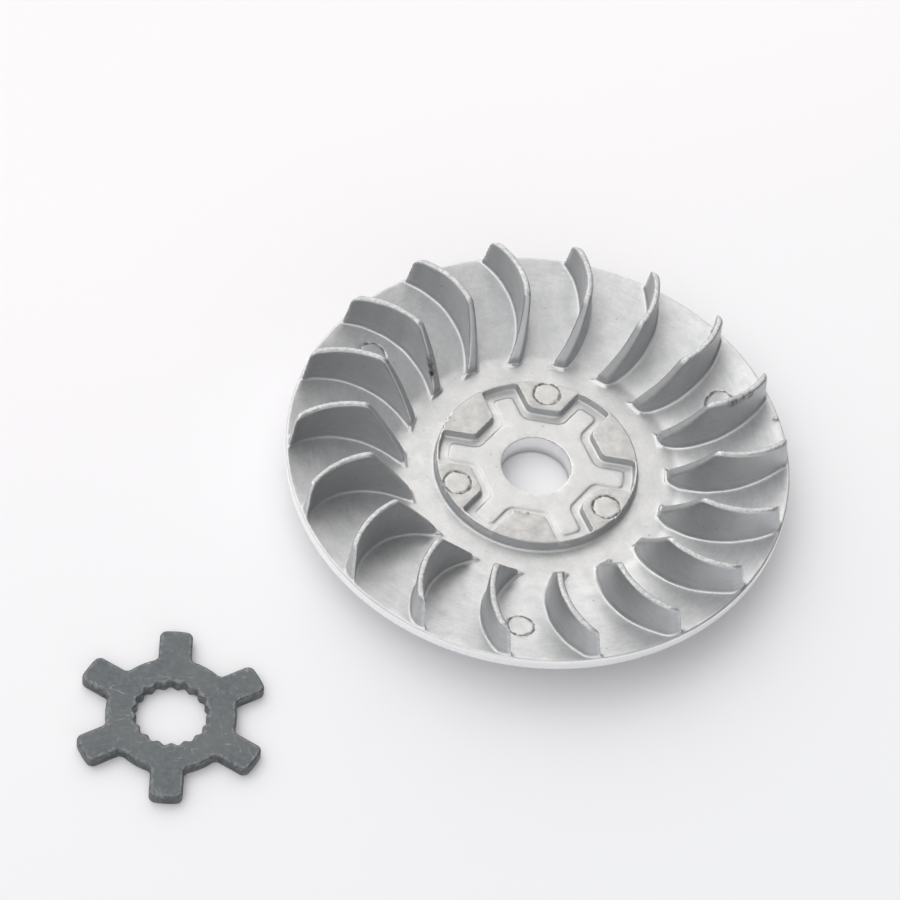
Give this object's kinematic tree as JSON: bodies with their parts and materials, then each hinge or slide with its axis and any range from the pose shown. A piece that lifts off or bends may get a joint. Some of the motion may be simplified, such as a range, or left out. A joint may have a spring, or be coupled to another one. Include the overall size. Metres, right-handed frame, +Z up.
{
  "type": "cooling fan wheel with claw washer",
  "caption": "Die-cast scooter fan wheel with curved vanes and a star-shaped hub pocket, with the loose splined claw washer that keys it to the crankshaft.",
  "frame": {"origin": "on the bench, under the middle of the kit's footprint; the wheel's axis stands at x 0.0156, y 0.0203", "axes": "+Z up along the wheel's axis, out of its fan side; +X along one arm of the hub pocket to within half a degree"},
  "size_m": [0.1394, 0.1488, 0.0185],
  "materials": {
    "cast_aluminium": "as-cast, dull satin",
    "phosphated_steel": "dark phosphate, satin"
  },
  "bodies": {
    "wheel": {"fan_wheel": "cast_aluminium"},
    "washer": {"claw_washer": "phosphated_steel"}
  },
  "joints": [
    {"name": "washer_fit", "type": "hinge", "parent": "wheel", "child": "washer", "pos_m": [-0.01732, -0.01695, 0.00417], "axis": [-0.749, 0.6626, 0], "range_deg": [0, 180]}
  ]
}
